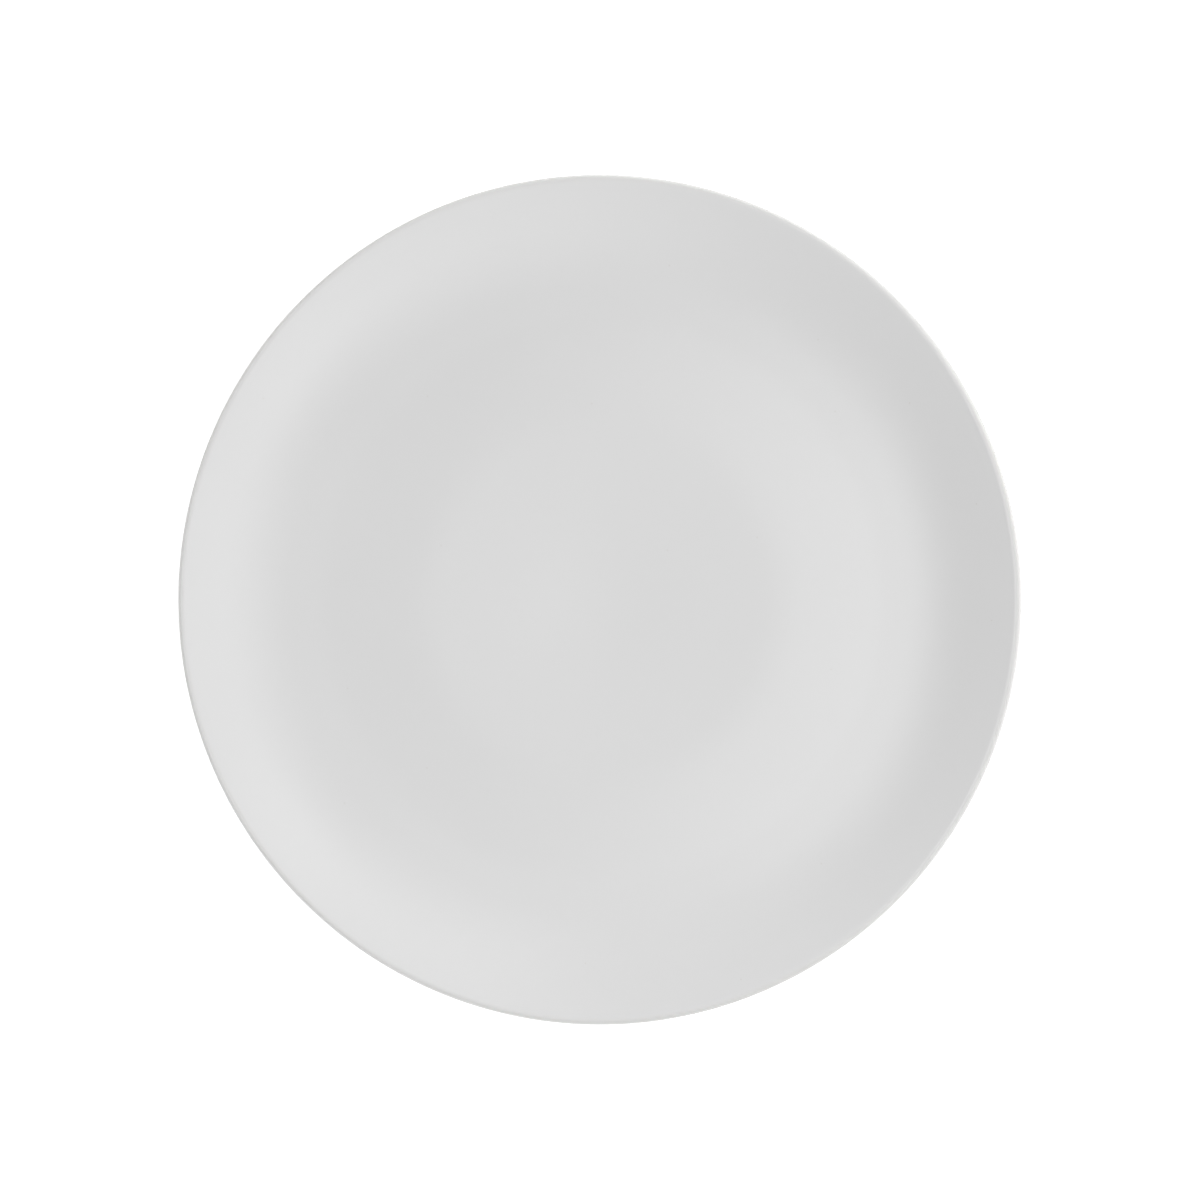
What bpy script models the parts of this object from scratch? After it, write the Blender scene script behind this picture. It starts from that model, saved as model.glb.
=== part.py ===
# Round coupe charger plate in white glazed porcelain.
# One turned clay body stands on a bare foot ring. A coat of glaze wraps its face, lip and back as far
# as the foot, and a second coat covers the recess inside the foot.
# Metres, +Z up. The origin is on the table, under the middle of the plate.

from math import cos, hypot, pi, radians, sin, tan

import bpy
from mathutils import Matrix, Vector

# Plan of the face, from the outside in
PLATE_DIAMETER = 0.320   # over the glaze
RIM_WIDTH = 0.018        # straight, with the lip
SHOULDER_WIDTH = 0.024   # bend between the shelf and the rim
SHELF_WIDTH = 0.009      # straight band outside the verge
VERGE_WIDTH = 0.007      # narrow bend, seen as a faint ring round the well
FLANK_WIDTH = 0.025      # side of the well
HEEL_WIDTH = 0.014       # soft bend between the flank and the bottom of the well
LEVEL_DIAMETER = 0.036   # level middle of the bottom, which is slightly dished from there to the heel

# Slopes of the face
RIM_ANGLE = radians(13)
SHELF_ANGLE = radians(7.8)
FLANK_ANGLE = radians(5.2)   # where the flank meets the verge
HEEL_ANGLE = radians(3.6)    # where the heel meets the flank
BOTTOM_ANGLE = radians(1.6)  # where the bottom meets the heel

# Clay
FLOOR_THICKNESS = 0.0042
LIP_THICKNESS = 0.0030   # over the glaze
LIP_NOSE = 0.0025        # length of the rounding at the lip, over the glaze
NOSE_POWER = 3.0         # 2 rounds the lip to half an ellipse, more makes it fuller

# Foot ring
FOOT_HEIGHT = 0.0030     # from the table to the level part of the recess
FOOT_WIDTH = 0.0060
FOOT_INSET = 0.0050      # from the verge in to the foot
FOOT_DRAFT = radians(20)
ROOT_RADIUS = 0.0025     # where the foot grows out of the back
TOE_RADIUS = 0.0012      # where the foot meets the table

# Glaze
GLAZE_THICKNESS = 0.0004
GLAZE_SEAT = 0.0003      # clearance between the clay and its glaze

# Smoothness
TURN_STEPS = 60
BOTTOM_SPANS = 3
FLANK_SPANS = 3
BEND_SPANS = 4           # in the heel, the verge and the shoulder
NOSE_SPANS = 8
BACK_SPANS = 7
CORNER_SPANS = 3
RECESS_SPANS = 3         # from the foot to the heel
MERGE_DISTANCE = 0.00001

BISQUE_COLOUR = (0.72, 0.70, 0.66, 1.0)
GLAZE_COLOUR = (0.70, 0.70, 0.69, 1.0)

# Radii and sizes that follow from the ones above
coat = GLAZE_SEAT + GLAZE_THICKNESS
plate_radius = PLATE_DIAMETER / 2
rim_radius = plate_radius - RIM_WIDTH
shoulder_radius = rim_radius - SHOULDER_WIDTH
shelf_radius = shoulder_radius - SHELF_WIDTH
verge_radius = shelf_radius - VERGE_WIDTH
flank_radius = verge_radius - FLANK_WIDTH
heel_radius = flank_radius - HEEL_WIDTH
level_radius = LEVEL_DIAMETER / 2
foot_outer = verge_radius - FOOT_INSET
foot_inner = foot_outer - FOOT_WIDTH

# The clay's nose at the lip, and how far it reaches out from its middle when it is tilted like the rim
nose_length = LIP_NOSE - coat
nose_half = LIP_THICKNESS / 2 - coat
nose_dual = NOSE_POWER / (NOSE_POWER - 1)
nose_along = nose_length * cos(RIM_ANGLE)
nose_across = nose_half * sin(RIM_ANGLE)
nose_reach = (nose_along ** nose_dual + nose_across ** nose_dual) ** (1 / nose_dual)
nose_radius = plate_radius - coat - nose_reach

# Stretches of the face from the level part outwards: first radius, width, and slopes at both ends
stretches = [
    (level_radius, heel_radius - level_radius, 0, tan(BOTTOM_ANGLE)),
    (heel_radius, HEEL_WIDTH, tan(BOTTOM_ANGLE), tan(HEEL_ANGLE)),
    (flank_radius, FLANK_WIDTH, tan(HEEL_ANGLE), tan(FLANK_ANGLE)),
    (verge_radius, VERGE_WIDTH, tan(FLANK_ANGLE), tan(SHELF_ANGLE)),
    (shelf_radius, SHELF_WIDTH, tan(SHELF_ANGLE), tan(SHELF_ANGLE)),
    (shoulder_radius, SHOULDER_WIDTH, tan(SHELF_ANGLE), tan(RIM_ANGLE)),
    (rim_radius, RIM_WIDTH, tan(RIM_ANGLE), tan(RIM_ANGLE)),
]


def face_height(radius):
    """Height of the clay's face. The slope changes evenly over the width of each stretch."""
    height = FOOT_HEIGHT + FLOOR_THICKNESS
    for start, width, slope_in, slope_out in stretches:
        x = min(max(radius - start, 0), width)
        height += slope_in * x + (slope_out - slope_in) * x * x / (2 * width)
    return height


def face_slope(radius):
    slope = 0
    for start, width, slope_in, slope_out in stretches:
        if radius > start:
            slope = slope_in + (slope_out - slope_in) * min((radius - start) / width, 1)
    return slope


def back_height(radius):
    """The back follows the face. Its wall thins smoothly from the verge to the lip."""
    share = (radius - verge_radius) / (nose_radius + nose_across - verge_radius)
    share = min(max(share, 0), 1)
    ease = share * share * (3 - 2 * share)
    wall = FLOOR_THICKNESS + (2 * nose_half - FLOOR_THICKNESS) * ease
    return face_height(radius) - wall * hypot(1, face_slope(radius))


def spread(start, end, spans):
    """Evenly spaced values after start, as far as end."""
    return [start + (end - start) * i / spans for i in range(1, spans + 1)]


def face_line():
    """From the middle of the well out to the lip."""
    radii = [0, level_radius]
    radii += spread(level_radius, heel_radius, BOTTOM_SPANS)
    radii += spread(heel_radius, flank_radius, BEND_SPANS)
    radii += spread(flank_radius, verge_radius, FLANK_SPANS)
    radii += spread(verge_radius, shelf_radius, BEND_SPANS)
    radii.append(shoulder_radius)
    radii += spread(shoulder_radius, rim_radius, BEND_SPANS)
    radii.append(nose_radius - nose_across)
    return [Vector((r, face_height(r))) for r in radii]


def lip_line():
    """The nose, in line with the rim, without its first point, which ends the face."""
    outward = Vector((cos(RIM_ANGLE), sin(RIM_ANGLE))) * nose_length
    upward = Vector((-sin(RIM_ANGLE), cos(RIM_ANGLE))) * nose_half
    rim_end = nose_radius - nose_across
    middle = Vector((rim_end, face_height(rim_end))) - upward
    line = []
    for t in spread(0, pi, NOSE_SPANS):
        out = max(sin(t), 0) ** (2 / NOSE_POWER)
        up = abs(cos(t)) ** (2 / NOSE_POWER)
        line.append(middle + outward * out + (upward * up if t < pi / 2 else -upward * up))
    return line


def rounded(before, corner, after, radius):
    """The arc that rounds a corner of an outline."""
    back, onward = (before - corner).normalized(), (after - corner).normalized()
    half = back.angle(onward) / 2
    middle = corner + (back + onward).normalized() * radius / sin(half)
    spoke = corner + back * radius / tan(half) - middle
    turn = pi - 2 * half
    if (corner - before).cross(after - corner) < 0:
        turn = -turn
    return [middle + Matrix.Rotation(a, 2) @ spoke for a in [0] + spread(0, turn, CORNER_SPANS)]


def foot_arcs():
    """The four rounded corners of the foot: outer root, outer toe, inner toe and inner root."""
    outer_root = foot_outer + back_height(foot_outer) * tan(FOOT_DRAFT)
    inner_root = foot_inner - back_height(foot_inner) * tan(FOOT_DRAFT)
    corners = [
        Vector((verge_radius, back_height(verge_radius))),
        Vector((outer_root, back_height(outer_root))),
        Vector((foot_outer, 0)),
        Vector((foot_inner, 0)),
        Vector((inner_root, back_height(inner_root))),
        Vector((heel_radius, back_height(heel_radius))),
    ]
    sizes = [ROOT_RADIUS, TOE_RADIUS, TOE_RADIUS, ROOT_RADIUS]
    return [rounded(*corners[i:i + 3], radius) for i, radius in enumerate(sizes)]


def back_line(root):
    """From under the lip in to the foot's outer root."""
    radii = spread(nose_radius + nose_across, verge_radius, BACK_SPANS)
    return [Vector((r, back_height(r))) for r in radii] + root


def recess_line(root):
    """From the foot's inner root to the middle of the recess."""
    radii = spread(root[-1].x, heel_radius, RECESS_SPANS) + [level_radius, 0]
    return root + [Vector((r, back_height(r))) for r in radii]


def offset(line, distance):
    """The same line moved off the clay, which is on its right."""
    ways = [(b - a).normalized() for a, b in zip(line, line[1:])]
    sides = [Vector((-way.y, way.x)) for way in ways]
    moved = []
    for i, point in enumerate(line):
        first, second = sides[max(i - 1, 0)], sides[min(i, len(sides) - 1)]
        mitre = (first + second).normalized()
        moved.append(point + mitre * distance / mitre.dot(first))
    return moved


def coat_section(line):
    """Outline of a coat of glaze on a line of clay: its outer side, then its inner side."""
    return offset(line, coat), offset(line, GLAZE_SEAT)


def principled(name, colour, roughness):
    material = bpy.data.materials.new(name)
    material.use_nodes = True
    shader = material.node_tree.nodes["Principled BSDF"]
    shader.inputs["Base Color"].default_value = colour
    shader.inputs["Roughness"].default_value = roughness
    material.diffuse_color = colour
    return material


def turned(name, outline, material, collection, parent):
    """A closed solid of revolution from an outline that runs from the axis round to the axis."""
    mesh = bpy.data.meshes.new(name)
    points = [(p.x, 0, p.y) for p in outline]
    mesh.from_pydata(points, [(i, i + 1) for i in range(len(points) - 1)], [])
    mesh.materials.append(material)
    piece = bpy.data.objects.new(name, mesh)
    piece.parent = parent
    collection.objects.link(piece)
    screw = piece.modifiers.new("Turn", "SCREW")
    screw.axis = "Z"
    screw.angle = 2 * pi
    screw.steps = screw.render_steps = TURN_STEPS
    screw.use_merge_vertices = True
    screw.merge_threshold = MERGE_DISTANCE
    screw.use_smooth_shade = True
    return piece


def main():
    for old in list(bpy.data.objects):
        bpy.data.objects.remove(old, do_unlink=True)

    plate = bpy.data.collections.new("charger_plate")
    bpy.context.scene.collection.children.link(plate)
    middle = bpy.data.objects.new("plate_middle", None)
    plate.objects.link(middle)

    bisque = principled("bare_porcelain", BISQUE_COLOUR, 0.75)
    glaze = principled("white_glaze", GLAZE_COLOUR, 0.20)

    outer_root, outer_toe, inner_toe, inner_root = foot_arcs()
    face = face_line() + lip_line() + back_line(outer_root)
    recess = recess_line(inner_root)
    turned("porcelain_body", face + outer_toe + inner_toe + recess, bisque, plate, middle)

    # The glaze stops half way down the sides of the foot
    outer_edge = (outer_root[-1] + outer_toe[0]) / 2
    inner_edge = (inner_toe[-1] + inner_root[0]) / 2
    outside, inside = coat_section(face + [outer_edge])
    turned("glaze_coat", outside + inside[::-1], glaze, plate, middle)
    outside, inside = coat_section([inner_edge] + recess)
    turned("recess_glaze", inside[::-1] + outside, glaze, plate, middle)


main()
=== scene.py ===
import math

import bmesh
import bpy
from mathutils import Matrix, Vector


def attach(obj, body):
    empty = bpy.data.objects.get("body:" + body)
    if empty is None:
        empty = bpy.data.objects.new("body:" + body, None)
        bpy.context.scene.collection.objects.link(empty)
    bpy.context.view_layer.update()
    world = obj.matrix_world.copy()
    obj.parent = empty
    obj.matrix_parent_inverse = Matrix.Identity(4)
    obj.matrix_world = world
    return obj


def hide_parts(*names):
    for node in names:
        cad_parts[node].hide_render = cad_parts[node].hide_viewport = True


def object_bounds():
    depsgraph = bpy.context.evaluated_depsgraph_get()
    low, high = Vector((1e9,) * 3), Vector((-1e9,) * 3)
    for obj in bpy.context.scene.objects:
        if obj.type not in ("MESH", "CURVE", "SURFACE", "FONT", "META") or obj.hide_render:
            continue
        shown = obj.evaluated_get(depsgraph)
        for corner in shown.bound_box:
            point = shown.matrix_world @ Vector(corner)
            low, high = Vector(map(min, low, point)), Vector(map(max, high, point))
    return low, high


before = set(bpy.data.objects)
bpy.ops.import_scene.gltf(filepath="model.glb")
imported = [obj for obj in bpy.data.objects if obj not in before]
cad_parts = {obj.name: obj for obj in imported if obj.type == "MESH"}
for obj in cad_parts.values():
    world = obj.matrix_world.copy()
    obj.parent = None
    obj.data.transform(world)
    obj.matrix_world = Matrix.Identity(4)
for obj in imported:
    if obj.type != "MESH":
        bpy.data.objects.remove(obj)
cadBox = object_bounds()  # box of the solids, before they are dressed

print("frame loaded:", ", ".join(sorted(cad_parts)))

mm = 0.001
turnSteps = 240  # columns round the axis
angles = [2 * math.pi * j / turnSteps for j in range(turnSteps)]
inside = 0.9995  # the smooth lip stays within the box of the solids, which have fewer facets

# Turned plate, in millimetres and degrees. The face is a row of stretches whose slope changes evenly.
plate = {
    "diameter": 320.0,
    "rimWidth": 18.0,       # straight, with the lip
    "shoulderWidth": 24.0,  # bend between shelf and rim
    "shelfWidth": 9.0,      # straight band outside the verge
    "vergeWidth": 7.0,      # narrow bend, the faint ring round the well
    "flankWidth": 25.0,     # side of the well
    "heelWidth": 14.0,      # soft bend between the flank and the bottom of the well
    "level": 36.0,          # across the level middle of the bottom, which is slightly dished from there
    "rimAngle": 13.0,
    "shelfAngle": 7.8,
    "flankAngle": 5.2,
    "heelAngle": 3.6,
    "bottomAngle": 1.6,
    "floor": 4.2,           # clay under the well
    "lip": 3.0,             # over the glaze
    "nose": 2.5,            # length of the lip's rounding, over the glaze
    "nosePower": 3.0,       # 2 is half an ellipse, more is fuller
    "coat": 0.7,            # from the clay to the surface of the glaze
}

# Foot ring, same units
foot = {
    "height": 3.0,  # table to the level part of the recess
    "width": 6.0,
    "inset": 5.0,   # verge to foot
    "draft": 20.0,
    "root": 2.5,
    "toe": 1.2,
}

# Where the glaze stops on the sides of the foot
glazeEdge = {
    "share": 0.5,       # how far down the side it runs
    "wander": 0.08,     # the wiped edge isn't quite level
    "waves": [(3, 1, 1), (7, 0.6, 2), (16, 0.35, -1)],  # count round the foot, strength, shift
    "outerStart": 0.4,  # radians, times the shift of each wave
    "innerStart": 2.1,
    "roll": 0.9,        # length of the rounded edge
    "bead": 0.22,       # glaze gathers above it, as a share of the coat
    "beadAt": 1.5,
    "beadWidth": 0.7,
    "seat": 0.02,       # the inner side of the glaze is this close to the clay
}

# Spans along each part of the outline
spans = {
    "level": 3,
    "bottom": 12,
    "heel": 10,
    "flank": 9,
    "verge": 10,
    "shelf": 4,
    "shoulder": 14,
    "rim": 6,
    "lip": 36,
    "back": 34,
    "corner": 10,
    "footSide": 14,
    "underFlank": 5,
    "underBottom": 8,
}


def tangent(degrees):
    return math.tan(math.radians(degrees))


rimRadius = plate["diameter"] / 2 - plate["rimWidth"]
shoulderRadius = rimRadius - plate["shoulderWidth"]
shelfRadius = shoulderRadius - plate["shelfWidth"]
vergeRadius = shelfRadius - plate["vergeWidth"]
flankRadius = vergeRadius - plate["flankWidth"]
heelRadius = flankRadius - plate["heelWidth"]
levelRadius = plate["level"] / 2
footOuter = vergeRadius - foot["inset"]
footInner = footOuter - foot["width"]

rimTilt = math.radians(plate["rimAngle"])
noseLength = plate["nose"] - plate["coat"]
noseHalf = plate["lip"] / 2 - plate["coat"]
noseDual = plate["nosePower"] / (plate["nosePower"] - 1)
noseAcross = noseHalf * math.sin(rimTilt)
noseReach = ((noseLength * math.cos(rimTilt)) ** noseDual + noseAcross ** noseDual) ** (1 / noseDual)
noseRadius = plate["diameter"] / 2 - plate["coat"] - noseReach

bottomSlope, heelSlope, flankSlope = (tangent(plate[a]) for a in ("bottomAngle", "heelAngle", "flankAngle"))
shelfSlope, rimSlope = tangent(plate["shelfAngle"]), tangent(plate["rimAngle"])
stretches = [  # first radius, width, slope in, slope out
    (levelRadius, heelRadius - levelRadius, 0, bottomSlope),
    (heelRadius, plate["heelWidth"], bottomSlope, heelSlope),
    (flankRadius, plate["flankWidth"], heelSlope, flankSlope),
    (vergeRadius, plate["vergeWidth"], flankSlope, shelfSlope),
    (shelfRadius, plate["shelfWidth"], shelfSlope, shelfSlope),
    (shoulderRadius, plate["shoulderWidth"], shelfSlope, rimSlope),
    (rimRadius, plate["rimWidth"], rimSlope, rimSlope),
]


def faceHeight(radius):
    height = foot["height"] + plate["floor"]
    for start, width, slopeIn, slopeOut in stretches:
        x = min(max(radius - start, 0), width)
        height += slopeIn * x + (slopeOut - slopeIn) * x * x / (2 * width)
    return height


def faceSlope(radius):
    slope = 0
    for start, width, slopeIn, slopeOut in stretches:
        if radius > start:
            slope = slopeIn + (slopeOut - slopeIn) * min((radius - start) / width, 1)
    return slope


def backHeight(radius):
    share = (radius - vergeRadius) / (noseRadius + noseAcross - vergeRadius)
    share = min(max(share, 0), 1)
    wall = plate["floor"] + (2 * noseHalf - plate["floor"]) * share * share * (3 - 2 * share)
    return faceHeight(radius) - wall * math.hypot(1, faceSlope(radius))  # thins towards the lip


def spread(start, end, count):
    return [start + (end - start) * i / count for i in range(1, count + 1)]


def faceLine():
    ends = {
        "level": levelRadius,
        "bottom": heelRadius,
        "heel": flankRadius,
        "flank": vergeRadius,
        "verge": shelfRadius,
        "shelf": shoulderRadius,
        "shoulder": rimRadius,
        "rim": noseRadius - noseAcross,
    }
    radii = [0]
    for part, end in ends.items():
        radii += spread(radii[-1], end, spans[part])
    return [Vector((r, faceHeight(r))) for r in radii]


def lipLine():
    outward = Vector((math.cos(rimTilt), math.sin(rimTilt))) * noseLength
    upward = Vector((-math.sin(rimTilt), math.cos(rimTilt))) * noseHalf
    rimEnd = noseRadius - noseAcross
    middle = Vector((rimEnd, faceHeight(rimEnd))) - upward
    power = 2 / plate["nosePower"]
    line = []
    for t in spread(0, math.pi, spans["lip"]):
        up = math.copysign(abs(math.cos(t)) ** power, math.cos(t))
        line.append(middle + outward * max(math.sin(t), 0) ** power + upward * up)
    return line


def rounded(before, corner, after, radius):
    back, onward = (before - corner).normalized(), (after - corner).normalized()
    half = back.angle(onward) / 2
    middle = corner + (back + onward).normalized() * radius / math.sin(half)
    spoke = corner + back * radius / math.tan(half) - middle
    turn = math.copysign(math.pi - 2 * half, (corner - before).cross(after - corner))
    return [middle + Matrix.Rotation(a, 2) @ spoke for a in [0] + spread(0, turn, spans["corner"])]


def footArcs():
    draft = tangent(foot["draft"])
    outerRoot = footOuter + backHeight(footOuter) * draft
    innerRoot = footInner - backHeight(footInner) * draft
    corners = [
        Vector((vergeRadius, backHeight(vergeRadius))),
        Vector((outerRoot, backHeight(outerRoot))),
        Vector((footOuter, 0)),
        Vector((footInner, 0)),
        Vector((innerRoot, backHeight(innerRoot))),
        Vector((heelRadius, backHeight(heelRadius))),
    ]
    sizes = [foot["root"], foot["toe"], foot["toe"], foot["root"]]
    return [rounded(*corners[i:i + 3], size) for i, size in enumerate(sizes)]


def sidesOf(line):
    ways = [(b - a).normalized() for a, b in zip(line, line[1:])]
    normals = [Vector((-way.y, way.x)) for way in ways]  # away from the clay
    last = len(normals) - 1
    return [(normals[max(i - 1, 0)] + normals[min(i, last)]).normalized() for i in range(len(line))]


def glazeDepth(toEdge):
    swell = glazeEdge["bead"] * math.exp(-((toEdge - glazeEdge["beadAt"]) / glazeEdge["beadWidth"]) ** 2)
    left = max(1 - toEdge / glazeEdge["roll"], 0)
    return plate["coat"] * (1 + swell) * math.sqrt(1 - left * left)


def glazeOutline(line):
    # line runs from the axis to the edge of the glaze
    sides = sidesOf(line)
    toEdge = [0.0]
    for a, b in zip(line[:0:-1], line[-2::-1]):
        toEdge.append(toEdge[-1] + (a - b).length)
    toEdge.reverse()
    seat = [p + n * glazeEdge["seat"] for p, n in zip(line, sides)]
    skin = [p + n * glazeDepth(d) for p, n, d in zip(line, sides, toEdge)]
    return skin[:-1] + seat[::-1]


def edgeShare(angle, start):
    # slow waves of the sponge that wiped the foot
    wave = 0
    for count, strength, shift in glazeEdge["waves"]:
        wave += strength * math.sin(count * angle + shift * start)
    return glazeEdge["share"] + glazeEdge["wander"] * wave


def turnedMesh(name, columns):
    # columns are outlines from axis round to axis, one for each angle
    count = len(columns[0])
    unit = mm * inside
    points = [(0, 0, columns[0][0].y * unit), (0, 0, columns[0][-1].y * unit)]
    for angle, outline in zip(angles, columns):
        x, y = math.cos(angle) * unit, math.sin(angle) * unit
        points += [(p.x * x, p.x * y, p.y * unit) for p in outline[1:-1]]
    rows = count - 2
    faces = []
    for j in range(len(columns)):
        here, there = 2 + j * rows, 2 + (j + 1) % len(columns) * rows
        faces.append((0, here, there))
        faces += [(here + i, here + i + 1, there + i + 1, there + i) for i in range(rows - 1)]
        faces.append((here + rows - 1, 1, there + rows - 1))
    mesh = bpy.data.meshes.new(name)
    mesh.from_pydata(points, [], faces)
    mesh.shade_smooth()
    piece = bpy.data.objects.new(name, mesh)
    bpy.context.scene.collection.objects.link(piece)
    return piece


outerRoot, outerToe, innerToe, innerRoot = footArcs()
backRadii = spread(noseRadius + noseAcross, vergeRadius, spans["back"])
backLine = [Vector((r, backHeight(r))) for r in backRadii] + outerRoot
outside = faceLine() + lipLine() + backLine
recessRadii = spread(innerRoot[-1].x, flankRadius, spans["underFlank"])
recessRadii += spread(flankRadius, heelRadius, spans["heel"])
recessRadii += spread(heelRadius, levelRadius, spans["underBottom"])
recessRadii += spread(levelRadius, 0, spans["level"])
recess = innerRoot + [Vector((r, backHeight(r))) for r in recessRadii]
sideShares = spread(0, 1, spans["footSide"])

clayBody = turnedMesh("clayBody", [outside + outerToe + innerToe + recess] * turnSteps)

outerSide = outerToe[0] - outerRoot[-1]
innerSide = innerToe[-1] - innerRoot[0]
columns = []
for angle in angles:
    end = outerSide * edgeShare(angle, glazeEdge["outerStart"])
    columns.append(glazeOutline(outside + [outerRoot[-1] + end * s for s in sideShares]))
mainGlaze = turnedMesh("mainGlaze", columns)

columns = []
for angle in angles:
    end = innerSide * edgeShare(angle, glazeEdge["innerStart"])
    edge = [innerRoot[0] + end * s for s in sideShares]
    line = [Vector((-p.x, p.y)) for p in recess[::-1] + edge]  # mirrored, so that the glaze grows downwards
    columns.append([Vector((-p.x, p.y)) for p in glazeOutline(line)][::-1])
recessGlaze = turnedMesh("recessGlaze", columns)
print("turned: clay body, main glaze and recess glaze, %d columns each" % turnSteps)


def linear(hexColour):
    parts = [int(hexColour[i:i + 2], 16) / 255 for i in (1, 3, 5)]
    return [c / 12.92 if c <= 0.04045 else ((c + 0.055) / 1.055) ** 2.4 for c in parts] + [1]


def addNode(tree, kind, inputs=None, **settings):
    node = tree.nodes.new("ShaderNode" + kind)
    for name, value in settings.items():
        setattr(node, name, value)
    for key, value in (inputs or {}).items():
        if isinstance(value, bpy.types.NodeSocket):
            tree.links.new(value, node.inputs[key])
        else:
            node.inputs[key].default_value = value
    return node


def perMetre(sizeMm):
    return 1000 / sizeMm  # pattern repeats in a metre


# White satin glaze on porcelain, dipped and fired: an even pale skin with a broad soft shine,
# a shade thinner and warmer over the lip, with the faint ripple and the odd speck of a fired glaze.
satinGlaze = {
    "colour": "#DADADA",
    "cloudColour": "#D8D8D8",
    "lipColour": "#D9D8D5",
    "speckColour": "#BDB6AA",
    "cloudMm": 40,
    "cloudDetail": 3,
    "lipFromMm": 3.2,       # the glaze thins from here out
    "lipShare": 0.5,
    "speckSpacingMm": 30,
    "speckMm": 0.30,
    "speckKept": 0.75,      # only cells above this have a speck
    "speckShare": 0.35,
    "roughLow": 0.14,
    "roughHigh": 0.16,
    "roughMm": 55,
    "roughDetail": 2,
    "hazeRange": (0.3, 0.7),  # most of the noise lies between these
    "rippleMm": 7,
    "rippleDetail": 1,
    "rippleHeightMm": 0.003,
    "ior": 1.5,
}


def makeSatinGlaze():
    g = satinGlaze
    material = bpy.data.materials.new("whiteSatinGlaze")
    material.use_nodes = True
    tree = material.node_tree
    shader = tree.nodes["Principled BSDF"]
    place = addNode(tree, "TexCoord").outputs["Object"]
    cloud = addNode(tree, "TexNoise", {
        "Vector": place, "Scale": perMetre(g["cloudMm"]), "Detail": g["cloudDetail"],
    })
    body = addNode(tree, "Mix", {
        0: cloud.outputs["Fac"], 6: linear(g["colour"]), 7: linear(g["cloudColour"]),
    }, data_type="RGBA")
    flat = addNode(tree, "VectorMath", {0: place, 1: (1, 1, 0)}, operation="MULTIPLY")
    radius = addNode(tree, "VectorMath", {0: flat.outputs[0]}, operation="LENGTH")
    edge = plate["diameter"] / 2 * mm
    thin = addNode(tree, "MapRange", {
        "Value": radius.outputs["Value"], "From Min": edge - g["lipFromMm"] * mm, "From Max": edge,
        "To Max": g["lipShare"],
    }, interpolation_type="SMOOTHSTEP")
    lipTone = addNode(tree, "Mix", {
        0: thin.outputs[0], 6: body.outputs[2], 7: linear(g["lipColour"]),
    }, data_type="RGBA")
    cells = addNode(tree, "TexVoronoi", {
        "Vector": place, "Scale": perMetre(g["speckSpacingMm"]),
    }, voronoi_dimensions="2D")
    size = g["speckMm"] / 2 / g["speckSpacingMm"]
    dot = addNode(tree, "MapRange", {
        "Value": cells.outputs["Distance"], "From Min": size, "From Max": size * 2,
        "To Min": g["speckShare"], "To Max": 0,
    })
    pick = addNode(tree, "SeparateXYZ", {0: cells.outputs["Color"]})
    kept = addNode(tree, "Math", {0: pick.outputs["X"], 1: g["speckKept"]}, operation="GREATER_THAN")
    speck = addNode(tree, "Math", {0: dot.outputs[0], 1: kept.outputs[0]}, operation="MULTIPLY")
    tone = addNode(tree, "Mix", {
        0: speck.outputs[0], 6: lipTone.outputs[2], 7: linear(g["speckColour"]),
    }, data_type="RGBA")
    tree.links.new(tone.outputs[2], shader.inputs["Base Color"])
    haze = addNode(tree, "TexNoise", {
        "Vector": place, "Scale": perMetre(g["roughMm"]), "Detail": g["roughDetail"],
    })
    rough = addNode(tree, "MapRange", {
        "Value": haze.outputs["Fac"], "From Min": g["hazeRange"][0], "From Max": g["hazeRange"][1],
        "To Min": g["roughLow"], "To Max": g["roughHigh"],
    })
    tree.links.new(rough.outputs[0], shader.inputs["Roughness"])
    ripple = addNode(tree, "TexNoise", {
        "Vector": place, "Scale": perMetre(g["rippleMm"]), "Detail": g["rippleDetail"],
    })
    bump = addNode(tree, "Bump", {
        "Height": ripple.outputs["Fac"], "Strength": 1, "Distance": g["rippleHeightMm"] * mm,
    })
    tree.links.new(bump.outputs[0], shader.inputs["Normal"])
    shader.inputs["IOR"].default_value = g["ior"]
    return material


# Bare hard porcelain, fired unglazed and ground on its foot: matt, a little warm and gritty,
# with fine grinding rings and grey rubs where it slides on tables.
barePorcelain = {
    "colour": "#D9D3C8",
    "gritColour": "#C9C1B3",
    "rubColour": "#A9A59E",
    "gritMm": 0.6,         # coarser than the real grit of about 0.1 mm, which is too fine to show
    "gritDetail": 4,
    "gritRange": (0.45, 0.7),
    "grindMm": 0.45,       # coarser than the real grinding lines of about 0.1 mm, for the same reason
    "grindDetail": 2,
    "grindHeightMm": 0.03,
    "grindStrength": 0.6,
    "rubMm": 14,
    "rubDetail": 5,
    "rubRange": (0.48, 0.62),
    "rubHeightMm": 0.35,   # rubs lie below this height
    "rubShare": 0.7,
    "roughness": 0.78,
    "ior": 1.5,
}


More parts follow.
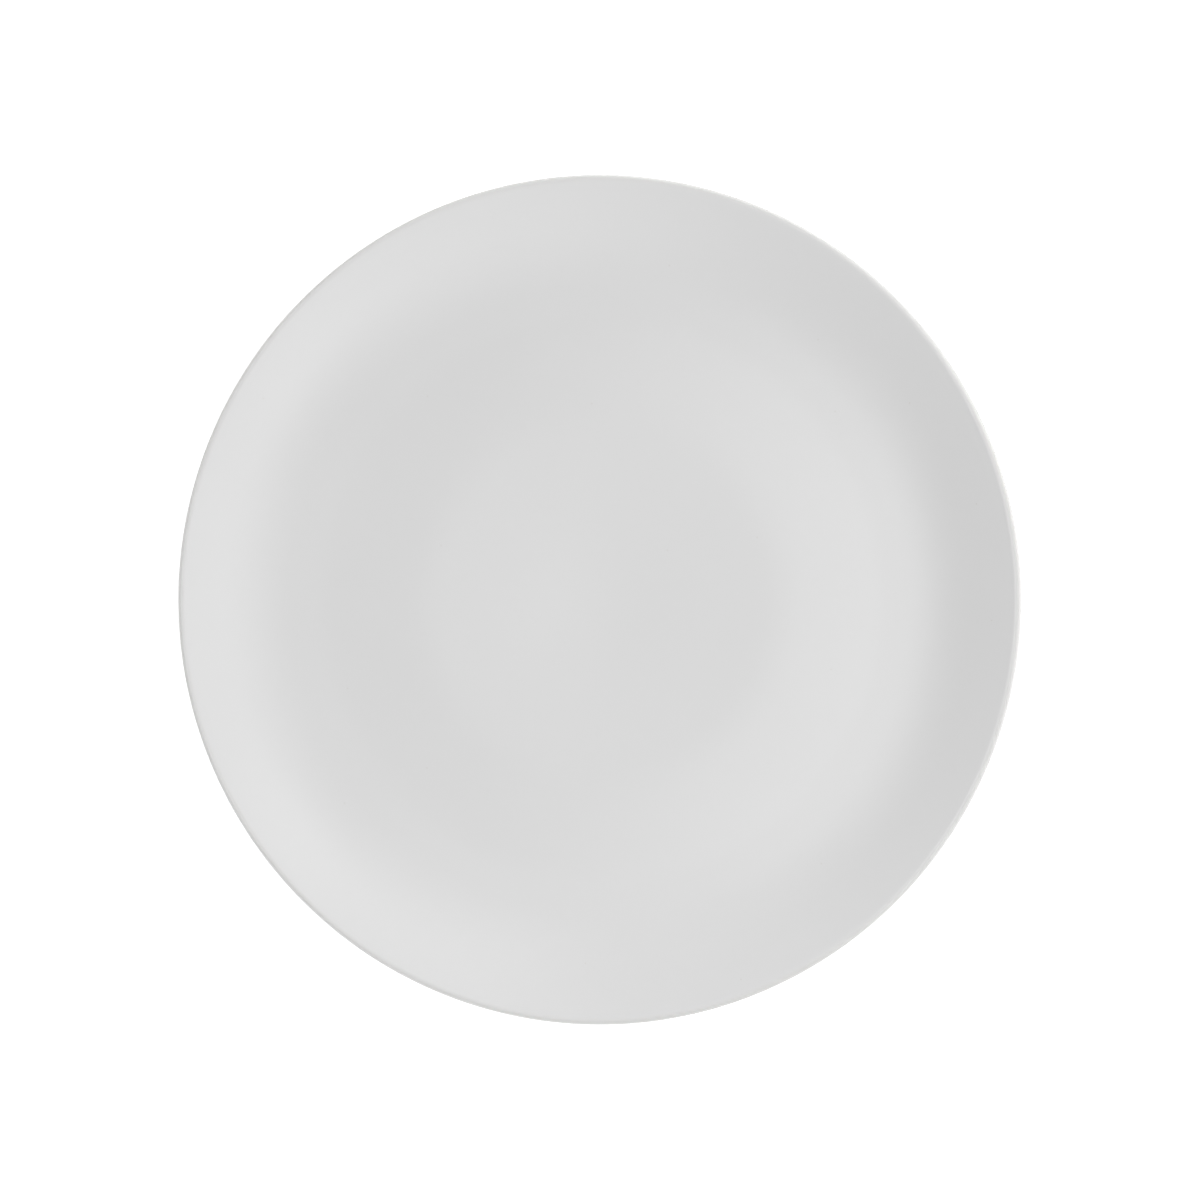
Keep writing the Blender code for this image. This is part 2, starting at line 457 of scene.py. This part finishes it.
def makeBarePorcelain():
    b = barePorcelain
    material = bpy.data.materials.new("groundBarePorcelain")
    material.use_nodes = True
    tree = material.node_tree
    shader = tree.nodes["Principled BSDF"]
    place = addNode(tree, "TexCoord").outputs["Object"]
    grit = addNode(tree, "TexNoise", {
        "Vector": place, "Scale": perMetre(b["gritMm"]), "Detail": b["gritDetail"],
    })
    grain = addNode(tree, "MapRange", {
        "Value": grit.outputs["Fac"], "From Min": b["gritRange"][0], "From Max": b["gritRange"][1],
    })
    body = addNode(tree, "Mix", {
        0: grain.outputs[0], 6: linear(b["colour"]), 7: linear(b["gritColour"]),
    }, data_type="RGBA")
    rub = addNode(tree, "TexNoise", {
        "Vector": place, "Scale": perMetre(b["rubMm"]), "Detail": b["rubDetail"],
    })
    patch = addNode(tree, "MapRange", {
        "Value": rub.outputs["Fac"], "From Min": b["rubRange"][0], "From Max": b["rubRange"][1],
        "To Max": b["rubShare"],
    })
    height = addNode(tree, "SeparateXYZ", {0: place}).outputs["Z"]
    low = addNode(tree, "MapRange", {
        "Value": height, "From Min": 0, "From Max": b["rubHeightMm"] * mm, "To Min": 1, "To Max": 0,
    })
    worn = addNode(tree, "Math", {0: patch.outputs[0], 1: low.outputs[0]}, operation="MULTIPLY")
    tone = addNode(tree, "Mix", {
        0: worn.outputs[0], 6: body.outputs[2], 7: linear(b["rubColour"]),
    }, data_type="RGBA")
    tree.links.new(tone.outputs[2], shader.inputs["Base Color"])
    flat = addNode(tree, "VectorMath", {0: place, 1: (1, 1, 0)}, operation="MULTIPLY")
    radius = addNode(tree, "VectorMath", {0: flat.outputs[0]}, operation="LENGTH")
    rings = addNode(tree, "TexNoise", {
        "W": radius.outputs["Value"], "Scale": perMetre(b["grindMm"]), "Detail": b["grindDetail"],
    }, noise_dimensions="1D")
    both = addNode(tree, "Math", {0: rings.outputs["Fac"], 1: grit.outputs["Fac"]}, operation="ADD")
    bump = addNode(tree, "Bump", {
        "Height": both.outputs[0], "Strength": b["grindStrength"], "Distance": b["grindHeightMm"] * mm,
    })
    tree.links.new(bump.outputs[0], shader.inputs["Normal"])
    shader.inputs["Roughness"].default_value = b["roughness"]
    shader.inputs["IOR"].default_value = b["ior"]
    return material


glazeMaterial = makeSatinGlaze()
for piece, node, slot, material in [
    (clayBody, "porcelain_body", "bare_porcelain", makeBarePorcelain()),
    (mainGlaze, "glaze_coat", "white_glaze", glazeMaterial),
    (recessGlaze, "recess_glaze", "white_glaze", glazeMaterial),
]:
    piece.data.materials.append(material)
    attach(piece, "root")
    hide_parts(node)
print("finishes: white satin glaze, bare ground porcelain")

# Softboxes overhead: middle and size in metres, and the radiance at the middle. Each fades towards its edges.
# Their heights differ a little, so that overlapping boxes both show in the glaze.
softboxes = {
    "rightBox": {"place": (0.77, -0.41, 2.60), "size": (1.21, 3.40), "radiance": 2.26},
    "lowerBox": {"place": (0.02, -1.02, 2.62), "size": (2.68, 1.32), "radiance": 2.01},
    "leftBox": {"place": (-0.67, -0.01, 2.58), "size": (0.80, 1.03), "radiance": 3.37},
    "upperBox": {"place": (1.15, 0.94, 2.64), "size": (3.14, 1.16), "radiance": 2.91},
    "cornerBox": {"place": (-0.58, 0.73, 2.66), "size": (1.52, 1.23), "radiance": 1.16},
}

# Low panels at the sides, facing the plate: degrees from +X, and the radiance at the middle.
# They light the lip and the back, and are kept out of the shine, which would wash out the face in low views.
sidePanels = {
    "rightPanel": {"azimuth": 30, "radiance": 22.1},
    "backPanel": {"azimuth": 120, "radiance": 13.5},
    "leftPanel": {"azimuth": 220, "radiance": 12.1},
    "frontPanel": {"azimuth": 300, "radiance": 11.7},
}
panelStand = {"tilt": 76, "distance": 3.0, "size": (1.60, 1.36)}  # degrees from straight up, m, m


def addSoftbox(name, place, size, radiance):
    lamp = bpy.data.lights.new(name, "AREA")
    lamp.shape = "RECTANGLE"
    lamp.size, lamp.size_y = size
    lamp.energy = radiance * math.pi * size[0] * size[1]  # watts of a panel with that radiance
    lamp.use_nodes = True
    tree = lamp.node_tree
    tree.nodes.clear()
    spot = addNode(tree, "NewGeometry").outputs["Parametric"]
    across = addNode(tree, "VectorMath", {0: spot, 1: (2, 2, 0), 2: (-1, -1, 0)}, operation="MULTIPLY_ADD")
    square = addNode(tree, "VectorMath", {0: across.outputs[0], 1: across.outputs[0]}, operation="MULTIPLY")
    fade = addNode(tree, "VectorMath", {0: (1, 1, 1), 1: square.outputs[0]}, operation="SUBTRACT")
    sides = addNode(tree, "SeparateXYZ", {0: fade.outputs[0]})
    level = addNode(tree, "Math", {0: sides.outputs["X"], 1: sides.outputs["Y"]}, operation="MULTIPLY")
    glow = addNode(tree, "Emission", {"Strength": level.outputs[0]})
    addNode(tree, "OutputLight", {0: glow.outputs[0]})
    box = bpy.data.objects.new(name, lamp)
    box.location = place
    box.visible_camera = False
    bpy.context.scene.collection.objects.link(box)
    return box


for name, box in softboxes.items():
    addSoftbox(name, box["place"], box["size"], box["radiance"])
for name, panel in sidePanels.items():
    azimuth, tilt = math.radians(panel["azimuth"]), math.radians(panelStand["tilt"])
    away = Vector((math.sin(tilt) * math.cos(azimuth), math.sin(tilt) * math.sin(azimuth), math.cos(tilt)))
    lamp = addSoftbox(name, away * panelStand["distance"], panelStand["size"], panel["radiance"])
    lamp.rotation_euler = away.to_track_quat("Z", "Y").to_euler()
    lamp.visible_glossy = False


def seenByEye(tree):
    # 1 for what the camera sees, also in a reflection or through glass, and 0 for light on a surface
    path = addNode(tree, "LightPath").outputs
    seen = addNode(tree, "Math", {0: path["Is Camera Ray"], 1: path["Is Glossy Ray"]}, operation="MAXIMUM")
    seen = addNode(tree, "Math", {0: seen.outputs[0], 1: path["Is Transmission Ray"]}, operation="MAXIMUM")
    return seen.outputs[0]


# White room for the camera and for reflections, a little even light for everything else
room = {"ambient": 0.02, "white": 1.0}
world = bpy.data.worlds.new("whiteRoom")
bpy.context.scene.world = world
world.use_nodes = True
tree = world.node_tree
tree.nodes.clear()
level = addNode(tree, "MapRange", {
    "Value": seenByEye(tree), "To Min": room["ambient"], "To Max": room["white"],
})
sky = addNode(tree, "Background", {"Color": (1, 1, 1, 1), "Strength": level.outputs[0]})
addNode(tree, "OutputWorld", {0: sky.outputs[0]})

# Pale floor: takes the plate's shadow, and glows to the eye, up to white away from the plate
floorLook = {
    "radius": 4.0,      # m
    "sides": 96,
    "drop": 0.05,       # mm below the foot
    "colour": "#CFCFCF",
    "glow": 0.75,       # beside the plate
    "whiteFrom": 0.35,  # m from the middle, where the glow starts to rise
    "whiteTo": 1.0,     # and where it is full
}
shape = bmesh.new()
bmesh.ops.create_circle(shape, cap_ends=True, segments=floorLook["sides"], radius=floorLook["radius"])
mesh = bpy.data.meshes.new("floor")
shape.to_mesh(mesh)
shape.free()
floor = bpy.data.objects.new("floor", mesh)
floor.location.z = -floorLook["drop"] * mm
bpy.context.scene.collection.objects.link(floor)
paint = bpy.data.materials.new("paleFloorPaint")
paint.cycles.emission_sampling = "NONE"  # its glow is only for the eye and lights nothing
paint.use_nodes = True
tree = paint.node_tree
tree.nodes.clear()
place = addNode(tree, "TexCoord").outputs["Object"]
away = addNode(tree, "VectorMath", {0: place}, operation="LENGTH")
glowing = addNode(tree, "MapRange", {
    "Value": away.outputs["Value"], "From Min": floorLook["whiteFrom"], "From Max": floorLook["whiteTo"],
    "To Min": floorLook["glow"],
})
level = addNode(tree, "Math", {0: seenByEye(tree), 1: glowing.outputs[0]}, operation="MULTIPLY")
glow = addNode(tree, "Emission", {"Strength": level.outputs[0]})
matt = addNode(tree, "BsdfDiffuse", {"Color": linear(floorLook["colour"])})
both = addNode(tree, "AddShader", {0: matt.outputs[0], 1: glow.outputs[0]})
addNode(tree, "OutputMaterial", {0: both.outputs[0]})
floor.data.materials.append(paint)
print("studio: %d softboxes, %d side panels and a white floor" % (len(softboxes), len(sidePanels)))

# Camera almost straight above, tilted towards +X, with +Y up in the picture
view = {
    "tilt": 7.2,           # degrees
    "distance": 2.1,       # m
    "lens": 167.5,         # mm
    "sensor": 36.0,        # mm
    "aim": (1.8, -0.08),   # mm from the axis
}
lens = bpy.data.cameras.new("camera")
lens.sensor_width = view["sensor"]
lens.lens = view["lens"]
camera = bpy.data.objects.new("camera", lens)
lean = math.radians(view["tilt"])
aim = Vector((view["aim"][0] * mm, view["aim"][1] * mm, cadBox[1].z))  # in the plane of the lip
camera.location = aim + Vector((math.sin(lean), 0, math.cos(lean))) * view["distance"]
camera.rotation_euler = (0, lean, 0)
bpy.context.scene.collection.objects.link(camera)
bpy.context.scene.camera = camera
bpy.context.scene.view_settings.view_transform = "Standard"
print("camera: %.1f degrees off the vertical" % view["tilt"])
